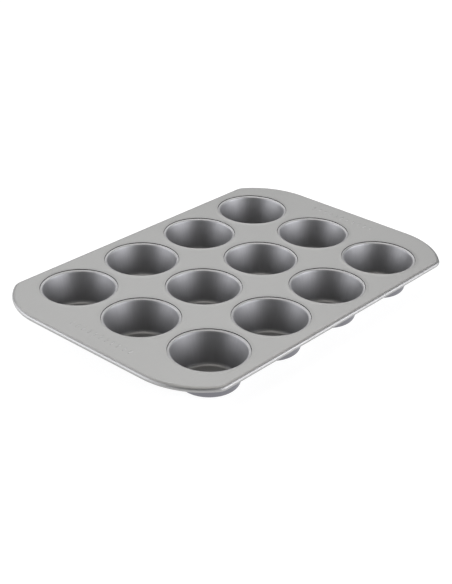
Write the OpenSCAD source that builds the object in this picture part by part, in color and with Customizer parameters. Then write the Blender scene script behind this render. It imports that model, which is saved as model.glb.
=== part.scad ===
// Twelve-cup muffin tin: a rolled-rim deck plate with a raised, stepped seat round each hole,
// twelve separately drawn cups that hang in the seats by their flanges, and the rim wire.
// The origin is at the middle of the plane that the cups stand on. +X runs along the long
// side and +Z is up.

/* [Layout] */
// Distance between the centres of neighbouring cups
pitch = 85; // [83:1:92]
// From the centre of an end cup to the end of the tin
end_margin = 70.8; // [60:0.2:80]
// From the centre of a side cup to the long edge of the tin
side_margin = 50.8; // [50:0.2:60]
// Height of the deck's top face above the feet of the cups
height = 33; // [26:1:45]
// Thickness of the sheet that the deck and the cups are drawn from
sheet = 0.8; // [0.6:0.1:1]

/* [Rim] */
// Diameter of the wire inside the rolled rim
wire_d = 3.4; // [2.5:0.1:3.5]
// Gap between the wire and the sheet rolled round it
wire_gap = 0.05; // [0.02:0.01:0.1]
// Gap between the wire's two ends
wire_end_gap = 1; // [0.5:0.5:4]
// Length of the slope that leads from the deck down to the rim
rim_slope = 1; // [0.5:0.5:3]
// Radius of the tight part of each corner, beside the long edge
tight_r = 12; // [11:1:16]
// Radius of the wide part of each corner, beside the short edge
wide_r = 74; // [60:1:80]

/* [Cup] */
// Radius of the flat ledge that a cup's flange rests on
seat_r = 37.5; // [37:0.1:38.5]
// Length of the steep slope from the seat's crest down to the ledge
seat_slope = 0.35; // [0.25:0.05:0.75]
// Length of the gentle slope that leads up from the deck to the crest
ring_slope = 1.25; // [0.75:0.25:1.5]
// Width of the flat part of the flange
flange_w = 0.4; // [0.3:0.1:1.2]
// Radius of the rounded lip that leads down into the cup
lip_r = 2; // [1.8:0.1:4]
// Outer radius of the bend between a cup's wall and floor
foot_bend_r = 4.5; // [3:0.5:6]
// Radius of the flat floor of a cup
floor_r = 24.6; // [22:0.1:26]

/* [Marks] */
// Number of raised bars in the row on each short flange
mark_count = 11; // [3:2:13]
// Distance from one bar to the next
mark_pitch = 7.5; // [4:0.5:8]
// Length of a bar
mark_l = 6; // [3:0.5:8]
// Width of a bar
mark_w = 1.4; // [1:0.1:2]
// Height of a bar above the deck
mark_h = 0.4; // [0.1:0.1:0.5]

/* [Hidden] */
$fn = 96;

columns = 4;
rows = 3;
half_length = (columns - 1) * pitch / 2 + end_margin;
half_width = (rows - 1) * pitch / 2 + side_margin;

// The rim bead: a curl of sheet round the wire.
curl_r = wire_d / 2 + wire_gap;
bead_r = curl_r + sheet;

// Unit directions whose parts are exact decimals. The slopes beside the rim and the seats and
// the ends of the cup's bends are 16.26 degrees off square, and a corner changes radius at
// 53.13 degrees.
slope_cos = 0.96;
slope_sin = 0.28;
turn_cos = 0.6;
turn_sin = 0.8;

// The line that the bead's centre follows: straight sides joined by two arcs at each corner.
bead_x = half_length - bead_r;
bead_y = half_width - bead_r;
wide_x = bead_x - wide_r;
tight_x = wide_x + (wide_r - tight_r) * turn_cos;
tight_y = bead_y - tight_r;
wide_y = tight_y - (wide_r - tight_r) * turn_sin;
turn_deg = atan2(turn_sin, turn_cos);

// The bend where the deck turns down to the rim, from the bead's centre.
brow_x = -rim_slope * slope_cos;
brow_y = rim_slope * slope_sin;
bead_z = height - bead_r - brow_y;
brow_flat = 3;

// A seat rises from the deck by a gentle slope to a rounded crest, and drops from there by a
// steep one to the ledge. Its three bends have the same pair of radii. The ledge leads on to
// a collar that stands round the cup's neck.
seat_bend_r = 0.2;
seat_bend_out_r = seat_bend_r + sheet;
seat_bends = seat_bend_r + seat_bend_out_r;
crest_x = seat_r + seat_bends * slope_cos + seat_slope * slope_sin;
crest_y = height + seat_bend_r - seat_bends * slope_cos + ring_slope * slope_sin;
deck_hole_r = crest_x + seat_bends * slope_sin + ring_slope * slope_cos;
seat_z = crest_y + seat_bends * slope_sin - seat_slope * slope_cos - seat_bend_r;
collar_h = 0.8;
collar_gap = 0.1;

// A cup's profile.
flange_gap = 0.1;
flange_r = seat_r - flange_gap;
flange_z = seat_z + sheet;
lip_x = flange_r - flange_w;
lip_y = flange_z - lip_r;
lip_in_r = lip_r - sheet;
foot_in_r = foot_bend_r - sheet;

mark_x = half_length - 20;
mark_recess = 0.3;
overlap = 0.1;

// The part of a ring between two directions. The rays are given as points beyond the ring,
// and the third point keeps the wedge outside it.
module bend(outer_r, inner_r, ray_a, corner, ray_b) {
    intersection() {
        difference() {
            circle(outer_r);
            circle(inner_r);
        }
        polygon([[0, 0], ray_a, corner, ray_b]);
    }
}

// Runs a flat profile once round the tin. The profile's x points outwards, its y points up,
// and its origin follows the line of the bead's centre. A gap can be left at the middle of
// the back edge.
module around_rim(gap = 0) {
    translate([0, 0, bead_z]) {
        for (side = [0, 1]) {
            mirror([side, 0, 0]) {
                translate([bead_x, 0, 0])
                    rotate([90, 0, 0])
                        linear_extrude(2 * wide_y, center = true) children();
                rim_back(gap) children();
                rim_corner() children();
                mirror([0, 1, 0]) {
                    rim_back(0) children();
                    rim_corner() children();
                }
            }
        }
    }
}

// Half of a long edge.
module rim_back(gap) {
    translate([gap / 2, bead_y, 0])
        rotate([90, 0, 90])
            linear_extrude(tight_x - gap / 2) children();
}

// The two arcs of one corner.
module rim_corner() {
    translate([tight_x, tight_y, 0])
        rim_arc(tight_r, [[0, 0], [0, 40], [40 * turn_cos / turn_sin, 40]]) children();
    translate([wide_x, wide_y, 0])
        rim_arc(wide_r, [[0, 0], [90, 0], [90, 90 * turn_sin / turn_cos]]) children();
}

// The part of a turned ring that lies inside a wedge.
module rim_arc(radius, wedge) {
    intersection() {
        rotate_extrude() translate([radius, 0]) children();
        linear_extrude(20, center = true) polygon(wedge);
    }
}

// Sheet from the deck's flat over the brow, down the slope and round the wire.
module rim_profile() {
    translate([brow_x - brow_flat, brow_y + curl_r]) square([brow_flat, sheet]);
    translate([brow_x, brow_y])
        bend(bead_r, curl_r, [0, 3 * bead_r], [slope_sin * 4 * bead_r, 3 * bead_r],
             [slope_sin * 3 * bead_r, slope_cos * 3 * bead_r]);
    polygon([[brow_x + slope_sin * curl_r, brow_y + slope_cos * curl_r],
             [brow_x + slope_sin * bead_r, brow_y + slope_cos * bead_r],
             [slope_sin * bead_r, slope_cos * bead_r],
             [slope_sin * curl_r, slope_cos * curl_r]]);
    difference() {
        circle(bead_r);
        circle(curl_r);
        polygon([[0, 0], 3 * bead_r * [slope_sin, slope_cos],
                 3 * bead_r * [-turn_sin, slope_cos], 3 * bead_r * [-turn_sin, turn_cos]]);
    }
}

// Points round the deck's flat, inset from the bead's centre line.
function corner_points(inset) = concat(
    [for (a = [0 : 15 : turn_deg]) [wide_x, wide_y] + (wide_r - inset) * [cos(a), sin(a)]],
    [for (a = [turn_deg : 12 : 90]) [tight_x, tight_y] + (tight_r - inset) * [cos(a), sin(a)]],
    [[tight_x, bead_y - inset]]);

function flipped(points) = [for (i = [len(points) - 1 : -1 : 0]) points[i]];

function outline(inset) = let (c = corner_points(inset)) concat(
    c,
    [for (p = flipped(c)) [-p[0], p[1]]],
    [for (p = c) [-p[0], -p[1]]],
    [for (p = flipped(c)) [p[0], -p[1]]]);

module at_cups() {
    for (col = [0 : columns - 1], row = [0 : rows - 1])
        translate([(col - (columns - 1) / 2) * pitch, (row - (rows - 1) / 2) * pitch])
            children();
}

// A straight stretch of sheet. It starts at a bend's centre, from the ray at which the bend
// ends, and runs the given way for the given length.
module slope(ray, way, length) {
    polygon([seat_bend_out_r * ray, seat_bend_r * ray,
             seat_bend_r * ray + length * way, seat_bend_out_r * ray + length * way]);
}

// The rise to the crest, the steep step down from it, the ledge that a cup's flange rests on,
// and the collar.
module seat_profile() {
    far = 2 * seat_bend_out_r;
    translate([deck_hole_r, height + seat_bend_r])
        bend(seat_bend_out_r, seat_bend_r, [0, -far], [-far * slope_sin, -far],
             far * [-slope_sin, -slope_cos]);
    translate([crest_x, crest_y]) {
        slope([slope_sin, slope_cos], [slope_cos, -slope_sin], ring_slope);
        bend(seat_bend_out_r, seat_bend_r, far * [slope_sin, slope_cos],
             far * [slope_sin - slope_cos, slope_cos + slope_sin],
             far * [-slope_cos, slope_sin]);
        slope([-slope_cos, slope_sin], [-slope_sin, -slope_cos], seat_slope);
    }
    translate([seat_r, seat_z + seat_bend_r])
        bend(seat_bend_out_r, seat_bend_r, [0, -far], [far * slope_cos, -far],
             far * [slope_cos, -slope_sin]);
    translate([lip_x + collar_gap, seat_z - sheet])
        square([seat_r - lip_x - collar_gap, sheet]);
    translate([lip_x + collar_gap, lip_y])
        bend(lip_in_r, lip_in_r - sheet, [0, 2 * lip_in_r],
             2 * lip_in_r * [-1, 1], [-2 * lip_in_r, 0]);
    translate([lip_x + collar_gap - lip_in_r, lip_y - collar_h])
        square([sheet, collar_h]);
}

// A row of plain bars across each short flange.
module mark_bars(l, w) {
    for (side = [-1, 1], i = [0 : mark_count - 1])
        translate([side * mark_x, (i - (mark_count - 1) / 2) * mark_pitch])
            square([l, w], center = true);
}

module deck_plate() {
    color([0.71, 0.71, 0.71]) {
        difference() {
            union() {
                translate([0, 0, height - sheet])
                    linear_extrude(sheet)
                        difference() {
                            polygon(outline(brow_flat / 2 - brow_x));
                            at_cups() circle(deck_hole_r);
                        }
                around_rim() rim_profile();
                at_cups() rotate_extrude() seat_profile();
                translate([0, 0, height - overlap])
                    linear_extrude(mark_h + overlap) mark_bars(mark_l, mark_w);
            }
            translate([0, 0, height - sheet - overlap])
                linear_extrude(mark_recess + overlap)
                    mark_bars(mark_l - mark_recess, mark_w - mark_recess);
        }
    }
}

module rim_wire() {
    color([0.62, 0.63, 0.65])
        around_rim(wire_end_gap) circle(wire_d / 2);
}

// Flange, lip, tapered wall, foot bend and floor.
module cup_profile() {
    translate([lip_x, seat_z]) square([flange_w, sheet]);
    translate([lip_x, lip_y])
        bend(lip_r, lip_in_r, [0, 2 * lip_r], [-slope_cos * 2 * lip_r, 2 * lip_r],
             2 * lip_r * [-slope_cos, slope_sin]);
    polygon([[lip_x, lip_y] + lip_in_r * [-slope_cos, slope_sin],
             [lip_x, lip_y] + lip_r * [-slope_cos, slope_sin],
             [floor_r, foot_bend_r] + foot_in_r * [slope_cos, -slope_sin],
             [floor_r, foot_bend_r] + foot_bend_r * [slope_cos, -slope_sin]]);
    translate([floor_r, foot_bend_r])
        bend(foot_bend_r, foot_in_r, [0, -2 * foot_bend_r],
             2 * foot_bend_r * [slope_cos, -1], 2 * foot_bend_r * [slope_cos, -slope_sin]);
    square([floor_r, sheet]);
}

// One cup. Columns count from the left and rows from the front.
module cup(col, row) {
    color([0.50, 0.50, 0.52])
        translate([(col - (columns + 1) / 2) * pitch, (row - (rows + 1) / 2) * pitch])
            rotate_extrude() cup_profile();
}

deck_plate();
rim_wire();
cup(1, 1);  // cup_a1
cup(2, 1);  // cup_a2
cup(3, 1);  // cup_a3
cup(4, 1);  // cup_a4
cup(1, 2);  // cup_b1
cup(2, 2);  // cup_b2
cup(3, 2);  // cup_b3
cup(4, 2);  // cup_b4
cup(1, 3);  // cup_c1
cup(2, 3);  // cup_c2
cup(3, 3);  // cup_c3
cup(4, 3);  // cup_c4
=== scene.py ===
"""A twelve-cup muffin tin: satin grey nonstick over pressed steel, with a rolled wire rim."""

import math

import bpy
from mathutils import Matrix, Vector
from mathutils.geometry import tessellate_polygon


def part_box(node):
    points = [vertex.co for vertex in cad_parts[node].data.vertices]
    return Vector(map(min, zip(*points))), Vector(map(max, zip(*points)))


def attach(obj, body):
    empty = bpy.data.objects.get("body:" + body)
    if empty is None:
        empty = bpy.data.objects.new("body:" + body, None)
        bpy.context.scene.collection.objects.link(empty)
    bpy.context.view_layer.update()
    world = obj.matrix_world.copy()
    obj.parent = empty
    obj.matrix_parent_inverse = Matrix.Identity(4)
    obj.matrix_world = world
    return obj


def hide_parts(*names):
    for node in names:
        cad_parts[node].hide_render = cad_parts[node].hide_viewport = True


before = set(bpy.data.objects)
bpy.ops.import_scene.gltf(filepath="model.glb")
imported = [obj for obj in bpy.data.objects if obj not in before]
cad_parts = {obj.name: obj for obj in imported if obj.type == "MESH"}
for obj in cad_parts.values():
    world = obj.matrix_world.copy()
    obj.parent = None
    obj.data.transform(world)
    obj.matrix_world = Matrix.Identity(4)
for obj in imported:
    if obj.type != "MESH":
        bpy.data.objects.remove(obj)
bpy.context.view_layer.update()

# ---------------------------------------------------------------------------------------
# Sizes, in metres. What the frame can tell is read from it.
# ---------------------------------------------------------------------------------------
MM = 0.001
SHEET = 0.8 * MM

DECK_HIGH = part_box("deck_plate")[1]
MARK_H = 0.4 * MM
DECK_TOP = DECK_HIGH[2] - MARK_H
HALF_LENGTH = DECK_HIGH[0]
HALF_WIDTH = DECK_HIGH[1]

# The rolled rim: the sheet goes over the brow, down a short slope and round the wire.
BEAD_R = 2.55 * MM
SLOPE_DEG = math.degrees(math.asin(0.28))
SLOPE_L = 1 * MM
CURL_END_DEG = -216
BROW_FLAT = 3 * MM
BEAD_Z = DECK_TOP - BEAD_R - SLOPE_L * math.sin(math.radians(SLOPE_DEG))

# The outline of the bead's centre line: each corner has a tight and a wide arc.
TIGHT_R = 12 * MM
WIDE_R = 74 * MM
TURN_DEG = math.degrees(math.acos(0.6))

# The seat that a cup hangs in: the deck rises gently to a rounded crest, drops steeply to a
# ledge and ends in a collar round the cup's neck.
SEAT_R = 37.3 * MM
CREST_H = 0.39 * MM
RISE_DEG = 7
STEP_DEG = 84
CREST_BEND_R = 0.08 * MM
SEAT_BEND_R = 0.1 * MM
RISE_BEND_R = 3 * MM
GUARD_R = 42 * MM
SEAT_GAP = 0.1 * MM
COLLAR_GAP = 0.1 * MM
COLLAR_H = 0.8 * MM

# A cup. Its flange slants down from the seat to the lip.
FLANGE_DROP = 0.2 * MM
FLANGE_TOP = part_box("cup_a1")[1][2] - FLANGE_DROP
FLANGE_R = 37.2 * MM
LIP_X = 35.9 * MM
LIP_R = 1.1 * MM
SLANT_DEG = 15
SLANT = math.radians(SLANT_DEG)
LIP_Z = FLANGE_TOP - (FLANGE_R - LIP_X) * math.tan(SLANT) - LIP_R / math.cos(SLANT)
FOOT_BEND_R = 4.5 * MM
FLOOR_R = 24.6 * MM
HUB_R = 0.01 * MM

# The row of plain bars on each short flange.
MARK_COUNT = 11
MARK_PITCH = 7.5 * MM
MARK_L = 6 * MM
MARK_W = 1.4 * MM
MARK_INSET = 20 * MM
MARK_SHOULDER = 0.2 * MM
MARK_MARGIN = 0.1 * MM

ROUND_STEPS = 144
SHARP_DEG = 40

# The viewpoint: an aim point on the deck, a turn round the tin, a rise, a roll and a distance in
# metres. The lens and the sensor are in millimetres, as Blender has them.
VIEW_AIM = (-36.19 * MM, -23.19 * MM)
VIEW_TURN_DEG = -48.84
VIEW_RISE_DEG = 28.03
VIEW_ROLL_DEG = 1.4
VIEW_DISTANCE = 1.182
LENS_MM = 75.86
SENSOR_MM = 36

# The studio: four large softboxes round a white floor. Turns are to the right of the far side.
LIGHT_DISTANCE = 1.6
WORLD_LIGHT = 0.01
FLOOR_REACH = 30
FLOOR_WHITE = 0.2
FLOOR_GLOW = 0.9
COOL = (0.96, 0.96, 1)
NEUTRAL = (1, 1, 1)
WARM = (1, 0.97, 0.92)


# ---------------------------------------------------------------------------------------
# Sections of bent sheet. A track is a list of (x, y, normal x, normal y) along the face
# that is seen, and the other face lies one thickness behind it.
# ---------------------------------------------------------------------------------------
def bend(centre, radius, start, end, steps):
    """A bend in the track. A negative radius means that the face looks at the centre."""
    side = 1 if radius > 0 else -1
    track = []
    for i in range(steps + 1):
        a = math.radians(start + (end - start) * i / steps)
        c, s = math.cos(a), math.sin(a)
        track.append((centre[0] + abs(radius) * c, centre[1] + abs(radius) * s, side * c, side * s))
    return track


def flat(x, y, normal=(0, 1)):
    """One point of a straight stretch."""
    return [(x, y, normal[0], normal[1])]


def face_seen(track):
    return [(x, y) for x, y, _, _ in track]


def face_behind(track):
    """The other face of the sheet, one thickness behind the track."""
    return [(x - SHEET * nx, y - SHEET * ny) for x, y, nx, ny in track]


def corner_behind(centre, radius, start, end):
    """The inner corner behind a bend that is tighter than the sheet is thick."""
    ends = [math.radians(start), math.radians(end)]
    nx, ny = sum(math.cos(a) for a in ends), sum(math.sin(a) for a in ends)
    reach = (radius - SHEET) * 2 / (nx * nx + ny * ny)
    return [(centre[0] + reach * nx, centre[1] + reach * ny)]


def both_faces(track):
    """The closed section of a sheet whose seen face follows the track."""
    return face_seen(track) + face_behind(track)[::-1]


def rim_track():
    """From the flat of the deck out over the brow and round the bead."""
    slope = math.radians(SLOPE_DEG)
    brow = (-SLOPE_L * math.cos(slope), SLOPE_L * math.sin(slope))
    top = brow[1] + BEAD_R
    return (
        flat(brow[0] - BROW_FLAT, top)
        + flat(brow[0] - BROW_FLAT + 0.5 * MM, top)
        + bend(brow, BEAD_R, 90, 90 - SLOPE_DEG, 5)
        + bend((0, 0), BEAD_R, 90 - SLOPE_DEG, CURL_END_DEG, 40)
    )


def seat_section():
    """The seat from the flat of the deck in to the mouth: up to the crest, down the step, the
    collar. Also tells which rows of it are the step."""
    rise, step = math.radians(RISE_DEG), math.radians(STEP_DEG)
    ledge = LIP_Z + LIP_R - SHEET - SEAT_GAP
    foot = (SEAT_R, ledge + SEAT_BEND_R)
    crest_z = DECK_TOP + CREST_H - CREST_BEND_R
    bends = CREST_BEND_R + SEAT_BEND_R
    drop = (crest_z - foot[1] + bends * math.cos(step)) / math.sin(step)
    crest = (foot[0] + bends * math.sin(step) + drop * math.cos(step), crest_z)
    climb = (CREST_H - (CREST_BEND_R + RISE_BEND_R) * (1 - math.cos(rise))) / math.sin(rise)
    rise_x = crest[0] + (CREST_BEND_R + RISE_BEND_R) * math.sin(rise) + climb * math.cos(rise)
    neck_r = LIP_R - SHEET
    neck = (LIP_X + COLLAR_GAP, ledge - neck_r)

    approach = flat(GUARD_R, DECK_TOP) + flat(GUARD_R - 0.1 * MM, DECK_TOP)
    approach += bend((rise_x, DECK_TOP + RISE_BEND_R), -RISE_BEND_R, -90, -90 - RISE_DEG, 4)
    crest_ends = (90 - RISE_DEG, 90 + STEP_DEG)
    top = bend(crest, CREST_BEND_R, *crest_ends, 8)
    hollow = bend(foot, -SEAT_BEND_R, STEP_DEG - 90, -90, 4)
    collar = flat(neck[0] - neck_r, neck[1] - COLLAR_H, (-1, 0))

    seen = face_seen(approach + top + hollow + bend(neck, neck_r, 90, 180, 8) + collar)
    behind = face_behind(approach) + corner_behind(crest, CREST_BEND_R, *crest_ends)
    behind += face_behind(hollow) + corner_behind(neck, neck_r, 90, 180) + face_behind(collar)
    # The first two rows of the crest's bend are still level enough to count as deck.
    steep = (len(approach) + 2, len(approach + top + hollow))
    return seen + behind[::-1], steep


def cup_track():
    """From the middle of the floor out, up the wall, over the lip and along the flange."""
    lip = (LIP_X, LIP_Z)
    foot = (FLOOR_R, FOOT_BEND_R)
    foot_r = FOOT_BEND_R - SHEET
    reach = (lip[0] - foot[0], lip[1] - foot[1])
    lean = math.acos((foot_r + LIP_R) / math.hypot(*reach)) - math.atan2(reach[1], reach[0])
    lean = math.degrees(lean)
    wall = bend(foot, -foot_r, -lean, -lean, 1)[0]
    wall_top = bend(lip, LIP_R, 180 - lean, 180 - lean, 1)[0]
    track = flat(HUB_R, SHEET) + flat(FLOOR_R * 0.5, SHEET) + flat(FLOOR_R - 0.5 * MM, SHEET)
    track += bend(foot, -foot_r, -90, -lean, 12)
    for i in range(1, 8):
        track.append(tuple(a + (b - a) * i / 8 for a, b in zip(wall, wall_top)))
    track += bend(lip, LIP_R, 180 - lean, 90 + SLANT_DEG, 12)
    return track + flat(FLANGE_R, FLANGE_TOP, track[-1][2:])


# ---------------------------------------------------------------------------------------
# Meshes
# ---------------------------------------------------------------------------------------
class Skin:
    """Points and faces of one mesh, and the ranges of faces that take its second material."""

    def __init__(self):
        self.points = []
        self.faces = []
        self.second = []

    def ring(self, points):
        """Adds points and returns their indices."""
        first = len(self.points)
        self.points.extend(points)
        return list(range(first, len(self.points)))

    def bridge(self, a, b):
        """Quads between two rings of the same length."""
        for i in range(len(a)):
            j = (i + 1) % len(a)
            self.faces.append((a[i], a[j], b[j], b[i]))

    def fill(self, outer, holes, up):
        """A flat face with holes in it, as triangles."""
        loops = [outer] + holes
        order = [i for loop in loops for i in loop]
        spots = [[Vector(self.points[i]).to_2d().to_3d() for i in loop] for loop in loops]
        for tri in tessellate_polygon(spots):
            a, b, c = (order[i] for i in tri)
            pa, pb, pc = (Vector(self.points[i]) for i in (a, b, c))
            turns_up = (pb - pa).cross(pc - pa).z > 0
            self.faces.append((a, b, c) if turns_up == up else (a, c, b))

    def piece(self, name):
        """The mesh as an object."""
        mesh = bpy.data.meshes.new(name)
        mesh.from_pydata([tuple(p) for p in self.points], [], self.faces)
        for first, last in self.second:
            for polygon in mesh.polygons[first:last]:
                polygon.material_index = 1
        mesh.validate()
        mesh.shade_smooth()
        mesh.set_sharp_from_angle(angle=math.radians(SHARP_DEG))
        obj = bpy.data.objects.new(name, mesh)
        bpy.context.scene.collection.objects.link(obj)
        return obj


def round_angles():
    return [2 * math.pi * i / ROUND_STEPS for i in range(ROUND_STEPS)]


def turned(skin, section, centre=(0, 0)):
    """Rings of a section turned about an upright axis, one for each of its points."""
    x, y = centre
    return [
        skin.ring([(x + r * math.cos(a), y + r * math.sin(a), z) for a in round_angles()])
        for r, z in section
    ]


def outline_frames():
    """Points along the bead's centre line with the direction that faces out, once round."""
    x, y = HALF_LENGTH - BEAD_R, HALF_WIDTH - BEAD_R
    turn = math.radians(TURN_DEG)
    wide = (x - WIDE_R, y - TIGHT_R - (WIDE_R - TIGHT_R) * math.sin(turn))
    tight = (wide[0] + (WIDE_R - TIGHT_R) * math.cos(turn), y - TIGHT_R)
    corner = bend(wide, WIDE_R, 0, TURN_DEG, 26)[:-1] + bend(tight, TIGHT_R, TURN_DEG, 90, 14)
    half = corner + [(-px, py, -nx, ny) for px, py, nx, ny in reversed(corner)]
    return half + [(-px, -py, -nx, -ny) for px, py, nx, ny in half]


def swept(skin, section):
    """Rings of a section swept round the outline, one for each of its points."""
    frames = outline_frames()
    return [
        skin.ring([(px + u * nx, py + u * ny, BEAD_Z + v) for px, py, nx, ny in frames])
        for u, v in section
    ]


def skin_rows(skin, rings):
    """Faces between neighbouring rings."""
    for a, b in zip(rings, rings[1:]):
        skin.bridge(a, b)


def bar_ring(skin, centre, grow, z):
    """The round-ended outline of one bar, grown or shrunk."""
    half = MARK_L / 2 - MARK_W / 2
    r = MARK_W / 2 + grow
    ends = [(half, -90), (-half, 90)]
    points = []
    for shift, start in ends:
        for i in range(9):
            a = math.radians(start + 180 * i / 8)
            points.append((centre[0] + shift + r * math.cos(a), centre[1] + r * math.sin(a), z))
    return skin.ring(points)


def mark_centres():
    """Middles of the bars on both short flanges."""
    for side in (-1, 1):
        for i in range(MARK_COUNT):
            yield (side * (HALF_LENGTH - MARK_INSET), (i - (MARK_COUNT - 1) / 2) * MARK_PITCH)


def raised_bars(skin, z, up):
    """Pressed bars in one face of the deck. Returns the outlines that the flat stops at."""
    outlines = []
    for centre in mark_centres():
        rings = [
            bar_ring(skin, centre, MARK_SHOULDER + MARK_MARGIN, z),
            bar_ring(skin, centre, MARK_SHOULDER, z),
            bar_ring(skin, centre, MARK_SHOULDER / 2, z + MARK_H * 0.25),
            bar_ring(skin, centre, 0, z + MARK_H * 0.8),
            bar_ring(skin, centre, -MARK_SHOULDER, z + MARK_H),
        ]
        for a, b in zip(rings, rings[1:]):
            skin.bridge(a, b) if up else skin.bridge(b, a)
        skin.fill(rings[-1], [], up)
        outlines.append(rings[0])
    return outlines


def cup_nodes():
    """Names of the cups' CAD nodes."""
    return sorted(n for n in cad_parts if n.startswith("cup_"))


def middle(node):
    """Middle of a node's box in plan."""
    low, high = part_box(node)
    return ((low[0] + high[0]) / 2, (low[1] + high[1]) / 2)


def make_deck():
    """The pressed deck: flat, rolled rim, seats and bars, on both faces of the sheet."""
    skin = Skin()
    rim = swept(skin, both_faces(rim_track()))
    skin_rows(skin, [r[::-1] for r in rim])
    seat, (step_start, step_stop) = seat_section()
    seats = [turned(skin, seat, middle(n)) for n in cup_nodes()]
    for rings in seats:
        skin_rows(skin, rings[:step_start + 1])
        # The steep rows of each seat take the second material, which is painted shade.
        first = len(skin.faces)
        skin_rows(skin, rings[step_start:step_stop + 1])
        skin.second.append((first, len(skin.faces)))
        skin_rows(skin, rings[step_stop:])
    skin.fill(rim[0], [s[0] for s in seats] + raised_bars(skin, DECK_TOP, True), True)
    skin.fill(rim[-1], [s[-1] for s in seats] + raised_bars(skin, DECK_TOP - SHEET, False), False)
    return skin.piece("deck")


def cup_mesh_piece():
    """One drawn cup about its own axis."""
    skin = Skin()
    track = cup_track()
    rings = [r[::-1] for r in turned(skin, both_faces(track))]
    skin_rows(skin, rings[:len(track) + 1])
    # The outside rows take the second material, which is painted shade.
    first = len(skin.faces)
    skin_rows(skin, rings[len(track):])
    skin.second.append((first, len(skin.faces)))
    skin.faces.append(tuple(reversed(rings[0])))
    skin.faces.append(tuple(rings[-1]))
    return skin.piece("cup")


# ---------------------------------------------------------------------------------------
# Materials
# ---------------------------------------------------------------------------------------
class Surface:
    """A new material and short names for the parts of its node tree."""

    def __init__(self, name):
        self.material = bpy.data.materials.new(name)
        self.material.use_nodes = True
        self.nodes = self.material.node_tree.nodes
        self.links = self.material.node_tree.links
        self.shader = self.nodes["Principled BSDF"]
        self.coords = self.nodes.new("ShaderNodeTexCoord").outputs["Object"]

    def node(self, kind, **settings):
        node = self.nodes.new("ShaderNode" + kind)
        for key, value in settings.items():
            setattr(node, key, value)
        return node

    def feed(self, value, socket):
        """Links an output, or sets a plain number or colour."""
        if isinstance(value, bpy.types.NodeSocket):
            self.links.new(value, socket)
        else:
            socket.default_value = value

    def noise(self, scale, detail=2.0, coords=None):
        node = self.node("TexNoise")
        self.feed(scale, node.inputs["Scale"])
        self.feed(detail, node.inputs["Detail"])
        self.feed(coords or self.coords, node.inputs["Vector"])
        return node.outputs["Fac"]

    def maths(self, operation, a, b=0.0):
        node = self.node("Math", operation=operation)
        self.feed(a, node.inputs[0])
        self.feed(b, node.inputs[1])
        return node.outputs[0]

    def vectors(self, operation, a, b):
        node = self.node("VectorMath", operation=operation)
        self.feed(a, node.inputs[0])
        self.feed(b, node.inputs[1])
        return node.outputs["Vector"]

    def mapped(self, value, start, stop, low, high):
        """The value moved from one range to another and held inside it."""
        node = self.node("MapRange")
        for key, number in zip(("From Min", "From Max", "To Min", "To Max"), (start, stop, low, high)):
            self.feed(number, node.inputs[key])
        self.feed(value, node.inputs["Value"])
        return node.outputs["Result"]

    def spread(self, noise, low, high):
        """A noise pattern's usual range, 0.3 to 0.7, moved to another range."""
        return self.mapped(noise, 0.3, 0.7, low, high)

    def shaded(self, colour, factor):
        """A colour made darker or lighter by a factor."""
        return self.vectors("MULTIPLY", colour, self.node_of_three(factor))

    def node_of_three(self, value):
        node = self.node("CombineXYZ")
        for socket in node.inputs:
            self.feed(value, socket)
        return node.outputs["Vector"]

    def bumps(self, height, depth):
        node = self.node("Bump")
        self.feed(depth, node.inputs["Distance"])
        self.feed(height, node.inputs["Height"])
        self.feed(node.outputs["Normal"], self.shader.inputs["Normal"])

    def finish(self, colour, roughness, metallic=1.0):
        self.feed(colour, self.shader.inputs["Base Color"])
        self.feed(roughness, self.shader.inputs["Roughness"])
        self.feed(metallic, self.shader.inputs["Metallic"])
        return self.material


def deck_finish():
    """Satin grey nonstick on flat sheet: a fine grain, a faint mottle and faint rolling lines."""
    s = Surface("deck_nonstick")
    grain = s.noise(2600, 1.0)
    mottle = s.noise(16, 3.0)
    lines = s.noise(60, 2.0, s.vectors("MULTIPLY", s.coords, (1, 24, 1)))
    tone = s.maths("ADD", s.spread(mottle, 0.97, 1.02), s.spread(lines, -0.012, 0.012))
    s.bumps(s.maths("ADD", grain, s.maths("MULTIPLY", lines, 0.4)), 0.006 * MM)
    roughness = s.maths("ADD", s.spread(mottle, 0.53, 0.57), s.spread(grain, -0.02, 0.02))
    return s.finish(s.shaded((0.40, 0.40, 0.397), tone), roughness)


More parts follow.
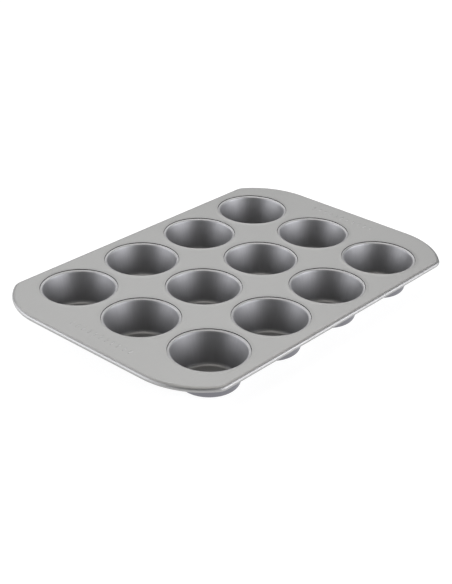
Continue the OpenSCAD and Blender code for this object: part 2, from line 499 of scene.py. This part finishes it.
def cup_finish():
    """Satin grey nonstick on a drawn cup: upright draw marks, grain, and painted light by height:
    painted shade on the lower wall and floor, painted highlights on the foot's bend and the lip."""
    s = Surface("cup_nonstick")
    place = s.node("ObjectInfo").outputs["Location"]
    moved = s.vectors("ADD", s.coords, s.vectors("MULTIPLY", place, (7, 7, 7)))
    grain = s.noise(2600, 1.0, moved)
    mottle = s.noise(30, 3.0, moved)
    outwards = s.vectors("NORMALIZE", s.vectors("MULTIPLY", s.coords, (1, 1, 0)), (0, 0, 0))
    stretched = s.vectors("MULTIPLY", moved, (0.2, 0.2, 2))
    marks = s.noise(26, 3.0, s.vectors("ADD", outwards, stretched))
    tone = s.maths("ADD", s.spread(mottle, 0.96, 1.03), s.spread(marks, -0.03, 0.03))
    height = s.node("SeparateXYZ")
    s.feed(s.coords, height.inputs[0])
    z = height.outputs["Z"]
    # Painted shade: the lower wall is made darker towards the bottom.
    painted_shade_low_wall = s.mapped(z, 5 * MM, 26 * MM, 0.8, 1.0)
    # Painted highlight: the bend at the foot is made lighter.
    foot = s.mapped(z, 2 * MM, 4.5 * MM, 1.5, 1.0)
    # Painted shade: the floor of the cup is made darker.
    floor = s.mapped(z, 0.9 * MM, 1.6 * MM, 0.68, 1.0)
    # Painted highlight: the lip is made lighter.
    lip = s.mapped(z, 30 * MM, 32 * MM, 1.0, 1.2)
    for factor in (painted_shade_low_wall, foot, floor, lip):
        tone = s.maths("MULTIPLY", tone, factor)
    s.bumps(s.maths("ADD", grain, s.maths("MULTIPLY", marks, 0.5)), 0.008 * MM)
    roughness = s.maths("ADD", s.spread(mottle, 0.52, 0.58), s.spread(grain, -0.02, 0.02))
    return s.finish(s.shaded((0.38, 0.38, 0.387), tone), roughness)


def cup_back_painted_shade():
    """The outside of a cup, painted darker than the inside as painted shade, with grain and a faint
    mottle.
    """
    s = Surface("cup_back_nonstick_painted_shade")
    grain = s.noise(2200, 1.0)
    mottle = s.noise(45, 3.0)
    s.bumps(grain, 0.008 * MM)
    roughness = s.maths("ADD", s.spread(mottle, 0.5, 0.6), s.spread(grain, -0.02, 0.02))
    # The dark base colour is painted shade on the outside of the cup.
    return s.finish(s.shaded((0.235, 0.235, 0.255), s.spread(mottle, 0.94, 1.05)), roughness)


def wire_finish():
    """Bright drawn wire with fine lines and a few duller patches."""
    s = Surface("drawn_wire")
    lines = s.noise(900, 3.0)
    patches = s.noise(40, 3.0)
    tone = s.spread(patches, 0.85, 1.0)
    roughness = s.maths("ADD", s.spread(lines, 0.25, 0.4), s.spread(patches, 0.06, 0.0))
    return s.finish(s.shaded((0.55, 0.56, 0.58), tone), roughness)


def seam_painted_shade():
    """The steep side of the step round a cup, painted near black as painted shade in the step's
    shadow.
    """
    s = Surface("seam_nonstick_painted_shade")
    mottle = s.noise(90, 3.0)
    tone = s.spread(mottle, 0.9, 1.1)
    # The near-black base colour is painted shade.
    return s.finish(s.shaded((0.05, 0.05, 0.051), tone), s.spread(mottle, 0.6, 0.7))


def paint(obj, *materials):
    """Gives a mesh its materials. A CAD node keeps its one slot, with a new material in it."""
    slots = obj.data.materials
    if slots:
        slots[0] = materials[0]
    else:
        for material in materials:
            slots.append(material)


# ---------------------------------------------------------------------------------------
# The tin
# ---------------------------------------------------------------------------------------
def build_tin():
    deck = make_deck()
    paint(deck, deck_finish(), seam_painted_shade())
    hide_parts("deck_plate")
    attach(deck, "root")

    first = cup_mesh_piece()
    paint(first, cup_finish(), cup_back_painted_shade())
    for node in cup_nodes():
        cup = first
        if node != cup_nodes()[0]:
            cup = bpy.data.objects.new("drawn_" + node, first.data)
            bpy.context.scene.collection.objects.link(cup)
        cup.name = "drawn_" + node
        cup.location = (*middle(node), 0)
        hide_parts(node)
        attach(cup, "root")

    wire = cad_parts["rim_wire"]
    paint(wire, wire_finish())


# ---------------------------------------------------------------------------------------
# Stage
# ---------------------------------------------------------------------------------------
def build_floor():
    """A large plain floor that glows a little, as a lit white sweep does."""
    skin = Skin()
    signs = [(-1, -1), (1, -1), (1, 1), (-1, 1)]
    skin.faces.append(tuple(skin.ring([(x * FLOOR_REACH, y * FLOOR_REACH, 0) for x, y in signs])))
    floor = skin.piece("floor")
    s = Surface("floor_white")
    s.feed((1, 1, 1, 1), s.shader.inputs["Emission Color"])
    s.feed(FLOOR_GLOW, s.shader.inputs["Emission Strength"])
    paint(floor, s.finish((FLOOR_WHITE, FLOOR_WHITE, FLOOR_WHITE, 1), 0.9, 0.0))


def softbox(name, turn, rise, size, power, colour):
    """A soft light aimed at the tin, from a turn to the right of the far side and a rise."""
    across = math.radians(VIEW_TURN_DEG - turn)
    up = math.radians(rise)
    level = math.cos(up)
    toward = Vector((-math.sin(across) * level, math.cos(across) * level, math.sin(up)))
    data = bpy.data.lights.new(name, "AREA")
    data.shape = "RECTANGLE"
    data.size, data.size_y = size
    data.energy = power
    data.color = colour
    light = bpy.data.objects.new(name, data)
    light.location = toward * LIGHT_DISTANCE
    light.rotation_euler = (-toward).to_track_quat("-Z", "Y").to_euler()
    bpy.context.scene.collection.objects.link(light)


def build_lights():
    """A softbox to each side, one high behind the tin and one overhead. The near side is dark."""
    softbox("left", -96, 20, (1.6, 0.8), 20, COOL)
    softbox("right", 108, 17, (1.9, 0.8), 25, COOL)
    softbox("back", -10, 42, (2, 0.6), 12, NEUTRAL)
    softbox("overhead", 0, 90, (2, 1), 8.5, WARM)
    world = bpy.data.worlds.new("studio")
    bpy.context.scene.world = world
    world.use_nodes = True
    background = world.node_tree.nodes["Background"]
    background.inputs["Color"].default_value = (1, 1, 1, 1)
    background.inputs["Strength"].default_value = WORLD_LIGHT


def build_camera():
    """The camera at the viewpoint."""
    azimuth, elevation, roll = (math.radians(a) for a in (VIEW_TURN_DEG, VIEW_RISE_DEG, VIEW_ROLL_DEG))
    aim = Vector((*VIEW_AIM, DECK_TOP))
    level = math.cos(elevation)
    back = Vector((math.sin(azimuth) * level, -math.cos(azimuth) * level, math.sin(elevation)))
    data = bpy.data.cameras.new("camera")
    data.lens = LENS_MM
    data.sensor_width = SENSOR_MM
    camera = bpy.data.objects.new("camera", data)
    turn = back.to_track_quat("Z", "Y").to_matrix().to_4x4() @ Matrix.Rotation(roll, 4, "Z")
    camera.matrix_world = Matrix.Translation(aim + back * VIEW_DISTANCE) @ turn
    bpy.context.scene.collection.objects.link(camera)
    bpy.context.scene.camera = camera


build_tin()
build_floor()
build_lights()
build_camera()
bpy.context.scene.view_settings.view_transform = "Standard"
